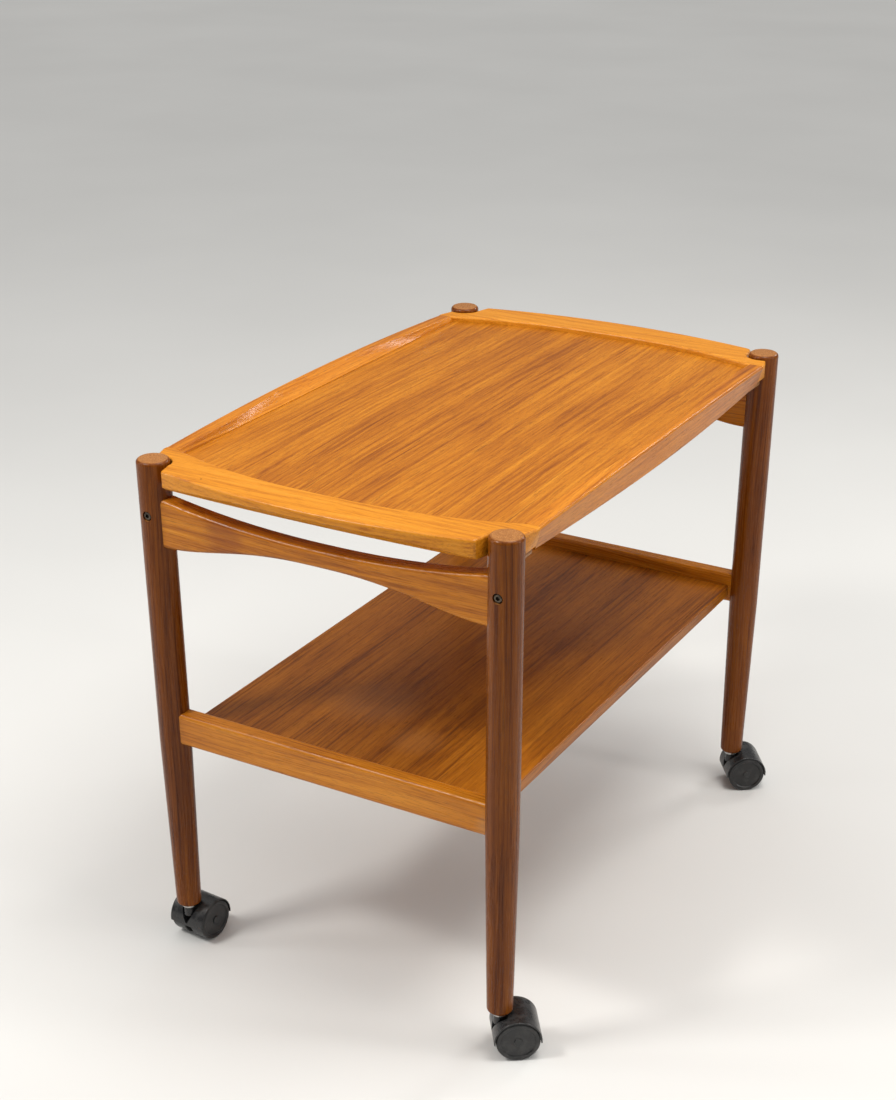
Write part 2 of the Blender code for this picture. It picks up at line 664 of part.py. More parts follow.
def grip_cutter(side_y):
    """The hollow under the end rim: deep and low in the middle, running out at the tips."""
    shape = bmesh.new()
    rings = []
    end = TIP_X + LEG_RADIUS
    for x in span(end, RIM_STEPS):
        share = min(1.0, abs(x) / TIP_X) ** 2
        outer = outer_y(x)
        face = GRIP_FACE + (GRIP_FACE_AT_TIP - GRIP_FACE) * share
        run = GRIP_RUN + (GRIP_RUN_AT_TIP - GRIP_RUN) * share
        beyond, below = outer + LEG_RADIUS, RIM_BOTTOM_Z
        top, drop = RIM_TOP_Z - face, END_RIM_THICKNESS - face
        curve = [(outer - run * t, top - drop * t ** GRIP_POWER) for t in (0, 0.25, 0.5, 0.75, 1)]
        section = [(beyond, top), *curve, (curve[-1][0], below), (beyond, below)]
        rings.append([shape.verts.new((x, y, z)) for y, z in section])
    close_loft(shape, rings)
    if side_y < 0:
        bmesh.ops.rotate(shape, matrix=Matrix.Rotation(pi, 3, "Z"), verts=shape.verts)
    return shape


def lean_cutter(side_x, side_y):
    """What leans the end rim's side faces in, as the side rims' tips lean."""
    below = RIM_BOTTOM_Z - SIDE_RIM_THICKNESS
    beyond = RIM_SIDE_X + LEG_DIAMETER
    foot = RIM_SIDE_X - SIDE_RIM_UNDERCUT
    section = [(RIM_SIDE_X, RIM_TOP_Z), (foot, RIM_BOTTOM_Z), (foot, below), (beyond, below),
               (beyond, RIM_TOP_Z)]
    shape = bmesh.new()
    rings = [[shape.verts.new((side_x * x, side_y * y, z)) for x, z in section]
             for y in (SEAM_Y - LEG_RADIUS, HALF_Y)]
    close_loft(shape, rings)
    return shape


def on_seam(point):
    return abs(abs(point.y) - SEAM_Y) < GAP


for end, side_y in ENDS.items():
    mesh = slab(f"tray_end_rim_{end}", end_rim_outline(), END_RIM_BOTTOM_Z, RIM_TOP_Z)
    if side_y < 0:
        mesh.transform(Matrix.Rotation(pi, 4, "Z"))
    weigh_edges(mesh, lambda a, b: min(a.z, b.z) > PANEL_TOP_Z and not (on_seam(a) and on_seam(b)))
    rim = add(f"tray_end_rim_{end}", mesh, TRAY_TEAK, tray)
    bevel(rim, RIM_ROUND, by_weight=True)
    cut(rim, cutter_from(f"grip_{end}", grip_cutter(side_y)))
    for which, side_x in SIDES.items():
        cut(rim, cutter_from(f"lean_{end}_{which}", lean_cutter(side_x, side_y)))
    cut(rim, groove)


def side_rim_section(y):
    """The side rim's section at y: flat on top at the corners, a narrow raised crest between."""
    share = 1 - (y / SEAM_Y) ** 2
    top = RIM_TOP_Z + SIDE_RIM_RISE * share
    outer = RIM_SIDE_X + SIDE_RIM_BOW * share
    lip = PANEL_TOP_Z + RIM_LIP
    corner_x = PANEL_HALF_X + SIDE_RIM_TOP_INSET
    inner_top = corner_x + (outer - SIDE_RIM_CREST - corner_x) * share ** RIM_CREST_POWER
    foot = outer - SIDE_RIM_UNDERCUT * (1 - share)
    hollow_x = (PANEL_HALF_X + inner_top) / 2
    hollow_z = (lip + top) / 2 - SIDE_RIM_HOLLOW * share
    corners = [
        (PANEL_HALF_X, RIM_BOTTOM_Z, 0),
        (foot, RIM_BOTTOM_Z, RIM_ROUND / 2),
        (outer, top, RIM_ROUND * 0.85),
        (inner_top, top, RIM_ROUND / 2),
        (hollow_x, hollow_z, 0),
        (PANEL_HALF_X, lip, 0),
    ]
    return rounded(corners)


for which, side_x in SIDES.items():
    shape = bmesh.new()
    rings = []
    for y in span(SEAM_Y - GAP / 2, SIDE_RIM_STATIONS):
        rings.append([shape.verts.new((x, y, z)) for x, z in side_rim_section(y)])
    close_loft(shape, rings)
    if side_x < 0:
        bmesh.ops.rotate(shape, matrix=Matrix.Rotation(pi, 3, "Z"), verts=shape.verts)
    rim = add(f"tray_side_rim_{which}", mesh_of(shape, f"tray_side_rim_{which}"), TRAY_TEAK, tray)
    cut(rim, groove)


# Pegs in the legs, on which the tray's corners rest

for corner, (side_x, side_y) in CORNERS.items():
    chamfer = PEG_DIAMETER / 10
    peg_radius = PEG_DIAMETER / 2
    length = PEG_DEPTH + PEG_REACH
    profile = [(0, length), (peg_radius - chamfer, length), (peg_radius, length - chamfer),
               (peg_radius, chamfer), (peg_radius - chamfer, 0), (0, 0)]
    peg = turned(f"tray_peg_{corner}", profile, PEG_WOOD, SMALL_SEGMENTS)
    peg.location = (side_x * HALF_X, side_y * (HALF_Y - LEG_RADIUS + PEG_DEPTH), PEG_Z)
    peg.rotation_euler = (radians(90) * side_y, 0, 0)


# Castors

def socket_profile():
    """A steel sleeve in the leg with a flange under its foot."""
    inner = STEM_DIAMETER / 2 + GAP
    outer = inner + SOCKET_WALL
    flange = SOCKET_FLANGE_DIAMETER / 2
    return [(inner, SOCKET_LENGTH), (outer, SOCKET_LENGTH), (outer, -GAP), (flange, -GAP),
            (flange, -GAP - SOCKET_FLANGE), (inner, -GAP - SOCKET_FLANGE)]


def stem_profile():
    """The pin in the socket, its collar, and the pivot in the hood's boss."""
    pin, pivot, collar = STEM_DIAMETER / 2, STEM_LOWER_DIAMETER / 2, COLLAR_DIAMETER / 2
    collar_top = -2 * GAP - SOCKET_FLANGE
    collar_low = collar_top - COLLAR_THICKNESS
    tip = -CASTOR_BOSS_DROP - CASTOR_BOSS_LENGTH + 2 * HOOD_WALL
    point, edge = STEM_DIAMETER / 6, COLLAR_THICKNESS / 4
    return [(0, STEM_REACH), (pin - point, STEM_REACH), (pin, STEM_REACH - point),
            (pin, collar_top), (collar - edge, collar_top), (collar, collar_top - edge),
            (collar, collar_low + edge), (collar - edge, collar_low), (pivot, collar_low),
            (pivot, tip), (0, tip)]


def wheel_profile():
    """A solid wheel with a shallow dish in its outer face and a blind bore for the axle."""
    radius, width, edge = WHEEL_RADIUS, WHEEL_WIDTH, WHEEL_EDGE
    dish = radius - WHEEL_RIM
    bore, floor = AXLE_DIAMETER / 2 + GAP, AXLE_GRIP + GAP
    outer_edge = arc(radius - edge, width - edge, edge, 90, 0, 2)
    return [(0, width), (dish - WHEEL_FACE_RECESS, width - WHEEL_FACE_RECESS), (dish, width),
            *outer_edge, (radius, edge / 2), (radius - edge / 2, 0),
            (bore, 0), (bore, floor), (0, floor)]


def hood_outline():
    """The fender seen along the axle, with +X as the way it trails."""
    outer = arc(0, 0, HOOD_RADIUS, HOOD_START, HOOD_END, HOOD_STEPS)
    inner = arc(0, 0, HOOD_RADIUS - HOOD_WALL, HOOD_END, HOOD_START, HOOD_STEPS)
    return outer + inner


def web_outline():
    """The web between the wheels, from the fender down to the axle's hub."""
    reach, hub = HOOD_RADIUS - HOOD_WALL / 2, HOOD_HUB / 2
    outer = arc(0, 0, reach, WEB_START, WEB_END, WEB_STEPS)
    return outer + arc(0, 0, hub, HUB_START, HUB_END, (HUB_END - HUB_START) // HUB_STEP)


def hood_mesh():
    """The hood with the middle of its axle at the origin, trailing towards +X."""
    shell = add("hood_shell", plate("hood_shell", hood_outline(), HOOD_WIDTH, upright=True),
                HOOD_PLASTIC, cutter=True)
    web = add("hood_web", plate("hood_web", web_outline(), HOOD_WEB, upright=True), None, cutter=True)
    boss_top = FOOT_Z - WHEEL_RADIUS - CASTOR_BOSS_DROP
    stem = (-CASTOR_TRAIL, 0)
    boss = rod(CASTOR_BOSS_DIAMETER / 2, (*stem, boss_top - CASTOR_BOSS_LENGTH), (*stem, boss_top))
    clear = rod(SOCKET_FLANGE_DIAMETER / 2 + RUNNING_GAP, (*stem, boss_top), (*stem, 2 * HOOD_RADIUS))
    pivot_floor = boss_top - CASTOR_BOSS_LENGTH + HOOD_WALL
    pivot = rod(STEM_LOWER_DIAMETER / 2 + GAP, (*stem, pivot_floor), (*stem, 2 * HOOD_RADIUS))
    half = HOOD_WIDTH
    axle = rod(AXLE_DIAMETER / 2 + GAP, (0, -half, 0), (0, half, 0))
    cut(shell, web, "UNION")
    cut(shell, cutter_from("hood_clearance", clear))
    cut(shell, cutter_from("hood_boss", boss), "UNION")
    for which, side in SIDES.items():
        inner = HOOD_WEB / 2
        wheel_room = rod(WHEEL_RADIUS + RUNNING_GAP, (0, side * inner, 0),
                         (0, side * (HOOD_WIDTH / 2 + WHEEL_WIDTH), 0), TURNED_SEGMENTS)
        cut(shell, cutter_from(f"wheel_room_{which}", wheel_room))
    cut(shell, cutter_from("hood_pivot", pivot))
    cut(shell, cutter_from("hood_axle", axle))
    bpy.context.view_layer.update()
    depsgraph = bpy.context.evaluated_depsgraph_get()
    mesh = bpy.data.meshes.new_from_object(shell.evaluated_get(depsgraph))
    mesh.name = "castor_hood"
    return mesh


hood = hood_mesh()

for corner, (side_x, side_y) in CORNERS.items():
    foot = Vector((side_x * HALF_X, side_y * HALF_Y, FOOT_Z))
    for name, profile, ring in (("castor_socket", socket_profile(), True),
                                ("castor_stem", stem_profile(), False)):
        piece = turned(f"{name}_{corner}", profile, BRIGHT_STEEL, SMALL_SEGMENTS, ring=ring)
        piece.location = foot

    yaw = radians(CASTOR_YAW[corner])
    swivel = bpy.data.objects.new(f"castor_swivel_{corner}", None)
    swivel.location = foot
    swivel.rotation_euler = (0, 0, yaw)
    trolley.objects.link(swivel)
    bpy.context.view_layer.update()
    axle_centre = foot + Vector((CASTOR_TRAIL * cos(yaw), CASTOR_TRAIL * sin(yaw), 0))
    axle_centre.z = WHEEL_RADIUS
    turn = Matrix.Rotation(yaw, 4, "Z")

    shell = add(f"castor_hood_{corner}", hood, None, swivel)
    shell.matrix_world = Matrix.Translation(axle_centre) @ turn

    half_axle = HOOD_WEB / 2 + RUNNING_GAP + AXLE_GRIP
    radius = AXLE_DIAMETER / 2
    profile = [(0, half_axle), (radius, half_axle), (radius, -half_axle), (0, -half_axle)]
    axle = turned(f"castor_axle_{corner}", profile, BRIGHT_STEEL, AXLE_SEGMENTS, swivel)
    axle.matrix_world = Matrix.Translation(axle_centre) @ turn @ Matrix.Rotation(pi / 2, 4, "X")

    for which, side in SIDES.items():
        wheel = turned(f"wheel_{corner}_{which}", wheel_profile(), WHEEL_PLASTIC, TURNED_SEGMENTS, swivel)
        face_out = Matrix.Rotation(-side * pi / 2, 4, "X")
        offset = Matrix.Translation((0, side * (HOOD_WEB / 2 + RUNNING_GAP), 0))
        wheel.matrix_world = Matrix.Translation(axle_centre) @ turn @ offset @ face_out
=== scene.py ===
from math import atan2, cos, degrees, pi, radians, sin, sqrt

import bmesh
import bpy
from mathutils import Matrix, Vector


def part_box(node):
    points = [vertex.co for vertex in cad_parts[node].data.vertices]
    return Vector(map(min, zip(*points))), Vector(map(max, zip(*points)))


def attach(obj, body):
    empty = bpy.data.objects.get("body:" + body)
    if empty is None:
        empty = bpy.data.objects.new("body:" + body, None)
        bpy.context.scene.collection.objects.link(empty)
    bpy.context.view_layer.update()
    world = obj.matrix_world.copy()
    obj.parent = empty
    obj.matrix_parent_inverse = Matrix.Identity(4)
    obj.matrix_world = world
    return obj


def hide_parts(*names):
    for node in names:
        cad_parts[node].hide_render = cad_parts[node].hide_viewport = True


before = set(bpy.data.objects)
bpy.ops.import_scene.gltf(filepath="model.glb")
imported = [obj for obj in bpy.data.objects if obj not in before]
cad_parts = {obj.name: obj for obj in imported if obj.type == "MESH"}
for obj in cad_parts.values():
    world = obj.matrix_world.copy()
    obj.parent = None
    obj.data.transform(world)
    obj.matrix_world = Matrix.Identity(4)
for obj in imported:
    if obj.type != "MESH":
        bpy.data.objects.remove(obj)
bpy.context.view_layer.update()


# View
# The trolley is seen from above its front right corner, through a fairly long lens that keeps
# its legs nearly parallel.

VIEW_PLACE = (0.95074, -1.72995, 1.26822)
VIEW_TURN = 29.939
VIEW_DOWN = 28.161
VIEW_ROLL = -0.098
VIEW_LENS = 59.19
VIEW_SHIFT = 0.1455

view_data = bpy.data.cameras.new("view")
view_data.lens = VIEW_LENS
view_data.shift_y = VIEW_SHIFT
view = bpy.data.objects.new("view", view_data)
view.matrix_world = (
    Matrix.Translation(VIEW_PLACE)
    @ Matrix.Rotation(radians(VIEW_TURN), 4, "Z")
    @ Matrix.Rotation(radians(90 - VIEW_DOWN), 4, "X")
    @ Matrix.Rotation(radians(VIEW_ROLL), 4, "Z")
)
bpy.context.scene.collection.objects.link(view)
bpy.context.scene.camera = view
bpy.context.scene.view_settings.view_transform = "Standard"


# Shop floor and lamps
# A wide plain floor of pale grey, lit softly by a broad lamp overhead, a small one in front, one
# behind and a tall one on each side, so that the rounded edges of the wood catch soft highlights.

FLOOR_HALF = 30
SKY_LOW = 0.20
SKY_HIGH = 1.3
SKY_STARTS = 0.45


class Reading:
    """One number, colour or vector that varies over a surface. Sums on it add Math nodes."""

    def __init__(self, paint, socket):
        self.paint = paint
        self.socket = socket

    def maths(self, operation, *values):
        return self.paint.node("Math", dict(enumerate(values)), operation=operation)

    def __add__(self, other):
        return self.maths("ADD", self, other)

    def __sub__(self, other):
        return self.maths("SUBTRACT", self, other)

    def __mul__(self, other):
        return self.maths("MULTIPLY", self, other)

    def __rsub__(self, other):
        return self.maths("SUBTRACT", other, self)

    __radd__ = __add__
    __rmul__ = __mul__

    def between(self, low, high):
        """How far the number is from low to high, as a soft step from 0 to 1."""
        values = {"Value": self, "From Min": low, "From Max": high}
        return self.paint.node("MapRange", values, interpolation_type="SMOOTHSTEP")


class Paint:
    """A material, and the nodes that give its finish."""

    def __init__(self, name):
        self.material = bpy.data.materials.new(name)
        self.material.use_nodes = True
        self.tree = self.material.node_tree
        self.shader = self.tree.nodes["Principled BSDF"]

    def node(self, kind, values, output=0, stops=None, **settings):
        """A node of one kind. Its settings and its ramp's stops are set first, and then its sockets."""
        made = self.tree.nodes.new("ShaderNode" + kind)
        for setting, value in settings.items():
            setattr(made, setting, value)
        if stops:
            elements = made.color_ramp.elements
            for element, (place, _) in zip(elements, (stops[0], stops[-1])):
                element.position = place
            for place, _ in stops[1:-1]:
                elements.new(place)
            for element, (_, colour) in zip(elements, stops):
                element.color = (*colour, 1)
        for socket, value in values.items():
            if isinstance(value, Reading):
                self.tree.links.new(value.socket, made.inputs[socket])
            else:
                made.inputs[socket].default_value = value
        return Reading(self, made.outputs[output])

    def finish(self, **values):
        """Sets the shader's own sockets, with words for spaces in their names."""
        for words, value in values.items():
            socket = self.shader.inputs[words.replace("_", " ")]
            if isinstance(value, Reading):
                self.tree.links.new(value.socket, socket)
            else:
                socket.default_value = value
        return self.material

    def place(self):
        return self.node("TexCoord", {}, "Object")

    def stretched(self, place, scales):
        return self.node("VectorMath", {0: place, 1: scales}, operation="MULTIPLY")

    def noise(self, place, scales, detail=2.0, roughness=0.5, output="Fac"):
        values = {"Vector": self.stretched(place, scales), "Scale": 1.0, "Detail": detail,
                  "Roughness": roughness}
        return self.node("TexNoise", values, output)

    def mix(self, share, first, second, blend="MIX"):
        """Two colours mixed."""
        values = {0: share, 6: first, 7: second}
        return self.node("Mix", values, 2, data_type="RGBA", blend_type=blend)

    def bump(self, height, strength, distance):
        return self.node("Bump", {"Height": height, "Strength": strength, "Distance": distance})


floor_paint = Paint("pale_floor")
floor_grey = floor_paint.noise(floor_paint.place(), (1.1, 1.1, 1.1), 3.0)
floor_ramp = floor_paint.node("ValToRGB", {0: floor_grey},
                              stops=[(0.3, (0.66, 0.66, 0.65)), (0.7, (0.70, 0.70, 0.69))])
floor_shape = bmesh.new()
bmesh.ops.create_grid(floor_shape, x_segments=1, y_segments=1, size=FLOOR_HALF)
floor_mesh = bpy.data.meshes.new("shop_floor")
floor_shape.to_mesh(floor_mesh)
floor_shape.free()
floor_mesh.materials.append(floor_paint.finish(Base_Color=floor_ramp, Roughness=0.8))
shop_floor = bpy.data.objects.new("shop_floor", floor_mesh)
bpy.context.scene.collection.objects.link(shop_floor)

sky = bpy.data.worlds.new("soft_room")
sky.use_nodes = True
sky_nodes, sky_links = sky.node_tree.nodes, sky.node_tree.links
way_up = sky_nodes.new("ShaderNodeSeparateXYZ")
sky_links.new(sky_nodes.new("ShaderNodeTexCoord").outputs["Generated"], way_up.inputs[0])
brighter = sky_nodes.new("ShaderNodeMapRange")
levels = (("From Min", SKY_STARTS), ("From Max", 1), ("To Min", SKY_LOW), ("To Max", SKY_HIGH))
for words, value in levels:
    brighter.inputs[words].default_value = value
sky_links.new(way_up.outputs["Z"], brighter.inputs["Value"])
sky_links.new(brighter.outputs[0], sky_nodes["Background"].inputs["Strength"])
sky_nodes["Background"].inputs["Color"].default_value = (1.0, 0.99, 0.97, 1)
bpy.context.scene.world = sky


def lamp(name, place, aim, width, height, watts, colour):
    """A soft box lamp at a place, turned towards a point."""
    data = bpy.data.lights.new(name, "AREA")
    data.shape = "RECTANGLE"
    data.size = width
    data.size_y = height
    data.energy = watts
    data.color = colour
    box = bpy.data.objects.new(name, data)
    box.location = place
    box.rotation_euler = (Vector(aim) - Vector(place)).to_track_quat("-Z", "Y").to_euler()
    bpy.context.scene.collection.objects.link(box)


lamp("overhead_lamp", (0.7, -0.1, 2.3), (0, 0, 0.4), 0.8, 0.9, 23, (1.0, 0.97, 0.92))
lamp("front_lamp", (-0.95, -1.4, 2.1), (0, -0.2, 0.5), 0.45, 0.3, 24, (1.0, 0.97, 0.92))
lamp("back_lamp", (0.9, 2.3, 1.75), (0, 0, 0.5), 0.6, 0.4, 12, (1.0, 0.97, 0.93))
lamp("right_lamp", (2.3, 0.5, 1.2), (0, 0, 0.4), 0.35, 1.5, 12, (1.0, 0.98, 0.96))
lamp("left_lamp", (-1.9, -1.2, 1.1), (0, 0, 0.35), 0.3, 1.4, 8, (1.0, 0.98, 0.96))


# Legs
# Four legs of solid teak, turned on a lathe: straight down to the shelf, tapered below it, and
# rounded over at both ends. Each is bored for the screw that holds the upper rail.

CORNERS = {"front_right": -1, "front_left": -1, "back_right": 1, "back_left": 1}  # the way each faces in Y
LEG_TAPER_HEIGHT = 0.225
LEG_FOOT_RADIUS = 0.0145
LEG_ROUND = 0.0045
SCREW_DROP = 0.060
SCREW_HOLE_RADIUS = 0.0056
SCREW_HOLE_DEPTH = 0.006
RINGS_PER_METRE = 230
NOISE_TURN = 0.55


def teak(name, grain, tones, streaks, rings, gloss, pith=(0.31, 0.27, -0.4), shine=0.3, broad=0.5,
         ends=None, marks=()):
    """Oiled teak with its grain along an axis, 0 to 2 for X to Z.

    The tones run from the darkest streak to the palest wood. The rings are the growth rings round
    the pith, which lies far outside the piece. Each mark is a centre, a radius, a colour and how
    much of that colour lies on the wood.
    """
    paint = Paint(name)

    def scales(across, along):
        values = [across] * 3
        values[grain] = along
        return tuple(values)

    place = paint.node("VectorRotate", {0: paint.place(), "Angle": NOISE_TURN},
                       rotation_type="XYZ"[grain] + "_AXIS")
    wander = paint.noise(place, scales(5, 1.6), 1.0, output="Color")
    drift = paint.node("VectorMath", {0: wander, 1: (0.5, 0.5, 0.5)}, operation="SUBTRACT")
    drift = paint.stretched(drift, scales(0.030, 0))
    place = paint.node("VectorMath", {0: place, 1: drift}, operation="ADD")

    bands = paint.noise(place, scales(30, 1.1), 2.0, 0.55)
    lines = paint.noise(place, scales(230, 3.6), 2.0, 0.6)
    fibres = paint.noise(place, scales(640, 13), 3.0, 0.65)
    flecks = paint.noise(place, scales(1700, 75), 1.0, 0.5)
    patches = paint.noise(place, scales(9, 6), 2.0, 0.5)

    away = paint.node("VectorMath", {0: place, 1: pith}, operation="SUBTRACT")
    away = paint.stretched(away, scales(1, 0))
    radius = paint.node("VectorMath", {0: away}, "Value", operation="LENGTH")
    turns = radius * 2 * pi * RINGS_PER_METRE + bands * 9
    growth = turns.maths("SINE", turns)

    tone = (bands - 0.5) * broad + (lines - 0.5) * 0.75 + (fibres - 0.5) * 0.80
    tone = tone + (patches - 0.5) * 0.30 + growth * rings * 0.10 + 0.60
    dark, brown, gold, pale = tones
    colour = paint.node("ValToRGB", {0: tone},
                        stops=[(0.18, dark), (0.42, brown), (0.62, gold), (0.86, pale)])
    streak = fibres.between(0.54, 0.66) * lines.between(0.46, 0.60) * streaks
    colour = paint.mix(streak, colour, (*dark, 1))
    pores = flecks.between(0.58, 0.72)
    colour = paint.mix(pores * 0.40, colour, (*(0.5 * part for part in dark), 1))
    # End grain gets its own colours where the grain axis meets the surface. On a leg they are painted far
    # paler than its sides: the end grain's own colour, with painted light and painted highlight from above
    # on the top.
    if ends:
        facing = paint.node("SeparateXYZ", {0: paint.node("NewGeometry", {}, "Normal")}, "XYZ"[grain])
        cut = facing.maths("ABSOLUTE", facing).between(0.72, 0.97)
        speckle = paint.noise(paint.place(), (900, 900, 900), 2.0, 0.6)
        end_grain_and_light_colour = paint.node("ValToRGB", {0: speckle}, stops=[(0.3, ends[0]), (0.7, ends[1])])
        colour = paint.mix(cut, colour, end_grain_and_light_colour)
    # Each mark mixes a colour in round its centre: real stains, haze and a pin, and on the shelf one patch
    # of painted shade.
    for centre, reach, stain_and_shade, share in marks:
        off = paint.node("VectorMath", {0: paint.place(), 1: centre}, "Value", operation="DISTANCE")
        blotch = (off + (patches - 0.5) * reach * 0.9).between(reach, reach * 0.25)
        colour = paint.mix(blotch * share, colour, (*stain_and_shade, 1))
    smears = paint.noise(paint.place(), (11, 11, 11), 3.0, 0.6)
    rough = gloss + pores * 0.16 + (smears - 0.5) * 0.14 + (fibres - 0.5) * 0.10
    relief = fibres * 0.6 - pores
    return paint.finish(Base_Color=colour, Roughness=rough, Specular_IOR_Level=shine,
                        Normal=paint.bump(relief, 0.20, 0.0004))


def turn(profile, steps=72):
    """A solid turned about Z from a profile of (radius, height) that starts and ends on the axis."""
    shape = bmesh.new()
    verts = [shape.verts.new((r, 0, z)) for r, z in profile]
    edges = [shape.edges.new(pair) for pair in zip(verts, verts[1:])]
    bmesh.ops.spin(shape, geom=verts + edges, cent=(0, 0, 0), axis=(0, 0, 1), dvec=(0, 0, 0),
                   angle=2 * pi, steps=steps, use_merge=True)
    bmesh.ops.remove_doubles(shape, verts=shape.verts, dist=1e-6)
    bmesh.ops.recalc_face_normals(shape, faces=shape.faces)
    return shape


def arc(r, z, radius, start, end, steps=8):
    """Points on an arc, between two angles in degrees."""
    angles = [radians(start + (end - start) * step / steps) for step in range(steps + 1)]
    return [(r + radius * cos(angle), z + radius * sin(angle)) for angle in angles]


def rod(radius, start, end, segments=48):
    """A round bar between two points."""
    start, end = Vector(start), Vector(end)
    turned = (end - start).to_track_quat("Z", "Y").to_matrix().to_4x4()
    shape = bmesh.new()
    bmesh.ops.create_cone(shape, cap_ends=True, segments=segments, radius1=radius, radius2=radius,
                          depth=(end - start).length)
    bmesh.ops.transform(shape, matrix=Matrix.Translation((start + end) / 2) @ turned, verts=shape.verts)
    return shape


def joined(shape, tool, operation):
    """Two solids made one, or one cut by the other."""
    blanks = []
    for each in (shape, tool):
        many_sided = [face for face in each.faces if len(face.verts) > 4]
        bmesh.ops.triangulate(each, faces=many_sided)
        mesh = bpy.data.meshes.new("blank")
        each.to_mesh(mesh)
        each.free()
        blank = bpy.data.objects.new("blank", mesh)
        bpy.context.scene.collection.objects.link(blank)
        blanks.append(blank)
    boolean = blanks[0].modifiers.new("cut", "BOOLEAN")
    boolean.operation = operation
    boolean.solver = "EXACT"
    boolean.object = blanks[1]
    evaluated = blanks[0].evaluated_get(bpy.context.evaluated_depsgraph_get())
    left = bmesh.new()
    left.from_mesh(evaluated.to_mesh())
    evaluated.to_mesh_clear()
    for blank in blanks:
        mesh = blank.data
        bpy.data.objects.remove(blank)
        bpy.data.meshes.remove(mesh)
    bmesh.ops.remove_doubles(left, verts=left.verts, dist=1e-6)
    return left


def cut(shape, tool):
    return joined(shape, tool, "DIFFERENCE")


def piece(shape, name, body, nodes, material, crease=32):
    """A finished piece that rides on a body and stands for the nodes that it replaces."""
    mesh = bpy.data.meshes.new(name)
    shape.to_mesh(mesh)
    shape.free()
    mesh.shade_smooth()
    mesh.set_sharp_from_angle(angle=radians(crease))
    mesh.materials.append(material)
    made = bpy.data.objects.new(name, mesh)
    bpy.context.scene.collection.objects.link(made)
    steady = made.modifiers.new("steady_flats", "WEIGHTED_NORMAL")
    steady.keep_sharp = True
    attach(made, body)
    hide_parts(*nodes)
    return made


leg_teak = teak("leg_teak_oiled", 2, ((0.040, 0.008, 0.0006), (0.095, 0.021, 0.0011),
                                      (0.165, 0.042, 0.0020), (0.240, 0.070, 0.0045)),
                streaks=0.5, rings=0.4, gloss=0.27, shine=0.2,
                # The end grain colours are painted paler than the sides: the end grain's own colour with
                # painted light from above on the top.
                ends=((0.200, 0.072, 0.018), (0.460, 0.200, 0.060)))

for corner, side_y in CORNERS.items():
    low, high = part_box(f"leg_{corner}")
    middle = (low + high) / 2
    radius, length = (high.x - low.x) / 2, high.z - low.z
    top = arc(radius - LEG_ROUND, length - LEG_ROUND, LEG_ROUND, 90, 0)
    foot = arc(LEG_FOOT_RADIUS - LEG_ROUND, LEG_ROUND, LEG_ROUND, 0, -90)
    straight = [(radius, LEG_TAPER_HEIGHT + (length - LEG_ROUND - LEG_TAPER_HEIGHT) * share)
                for share in (0.75, 0.5, 0.25, 0)]
    tapered = [(LEG_FOOT_RADIUS + (radius - LEG_FOOT_RADIUS) * share,
                LEG_ROUND + (LEG_TAPER_HEIGHT - LEG_ROUND) * share) for share in (0.75, 0.5, 0.25)]
    leg = turn([(0, length), *top, *straight, *tapered, *foot, (0, 0)])
    bmesh.ops.translate(leg, vec=(middle.x, middle.y, low.z), verts=leg.verts)
    screw_z = high.z - SCREW_DROP
    face = middle.y + side_y * radius
    leg = cut(leg, rod(SCREW_HOLE_RADIUS, (middle.x, face + side_y * radius, screw_z),
                       (middle.x, face - side_y * SCREW_HOLE_DEPTH, screw_z)))
    piece(leg, f"turned_leg_{corner}", "frame", [f"leg_{corner}"], leg_teak)


# Upper end rails
# A teak rail joins each pair of legs under the tray's end. Its top is hollowed so that a hand fits
# between it and the tray, its underside is arched, and all its edges are well rounded.

RAIL_DIP = 0.0155
RAIL_ARCH = 0.0195
RAIL_ROUND = 0.0046
RAIL_TENON = 0.0045
RAIL_DIP_POWER = 2.2
RAIL_ARCH_POWER = 1.4


def rolled(rounds, lengths, spot):
    """A bar: a grid rolled up so that its first and last rows meet, with its ends closed.

    The spot is worked out from how far it lies round the bar, as a count, and along it, from 0 to 1.
    """
    shape = bmesh.new()
    bmesh.ops.create_grid(shape, x_segments=rounds, y_segments=lengths, size=1)
    for vert in shape.verts:
        vert.co = spot(round((vert.co.x + 1) / 2 * rounds) % rounds, (vert.co.y + 1) / 2)
    bmesh.ops.remove_doubles(shape, verts=shape.verts, dist=1e-7)
    bmesh.ops.holes_fill(shape, edges=[edge for edge in shape.edges if edge.is_boundary])
    bmesh.ops.recalc_face_normals(shape, faces=shape.faces)
    return shape


rail_teak = teak("rail_teak_oiled", 0, ((0.150, 0.036, 0.002), (0.330, 0.095, 0.005),
                                        (0.500, 0.165, 0.008), (0.640, 0.240, 0.018)),
                 streaks=0.6, rings=0.6, gloss=0.28, pith=(0, 0.05, 0.36),
                 marks=[((-0.116, -0.345, 0.541), 0.030, (0.200, 0.040, 0.008), 0.45),
                        ((0.200, -0.350, 0.285), 0.022, (0.420, 0.250, 0.130), 0.35)])

rail_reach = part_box("leg_front_right")[0].x


def corners_rounded(corners, radius, count=6):
    """The points of a closed outline whose corners are all rounded."""
    points = []
    for place, corner in enumerate(corners):
        ahead = corners[(place + 1) % len(corners)]
        points += rounded_corner(corners[place - 1], corner, ahead, radius, count)
    return points


def rounded_corner(before, here, after, radius, count=5):
    """Points that round a corner of an outline."""
    here = Vector(here)
    first = (Vector(before) - here).normalized()
    last = (Vector(after) - here).normalized()
    half = first.angle(last) / 2
    centre = here + (first + last).normalized() * radius / sin(half)
    start = here + first * radius * cos(half) / sin(half) - centre
    sweep = (2 * half - pi) * (1 if first.cross(last) > 0 else -1)
    return [tuple(centre + Matrix.Rotation(sweep * step / count, 2) @ start) for step in range(count + 1)]


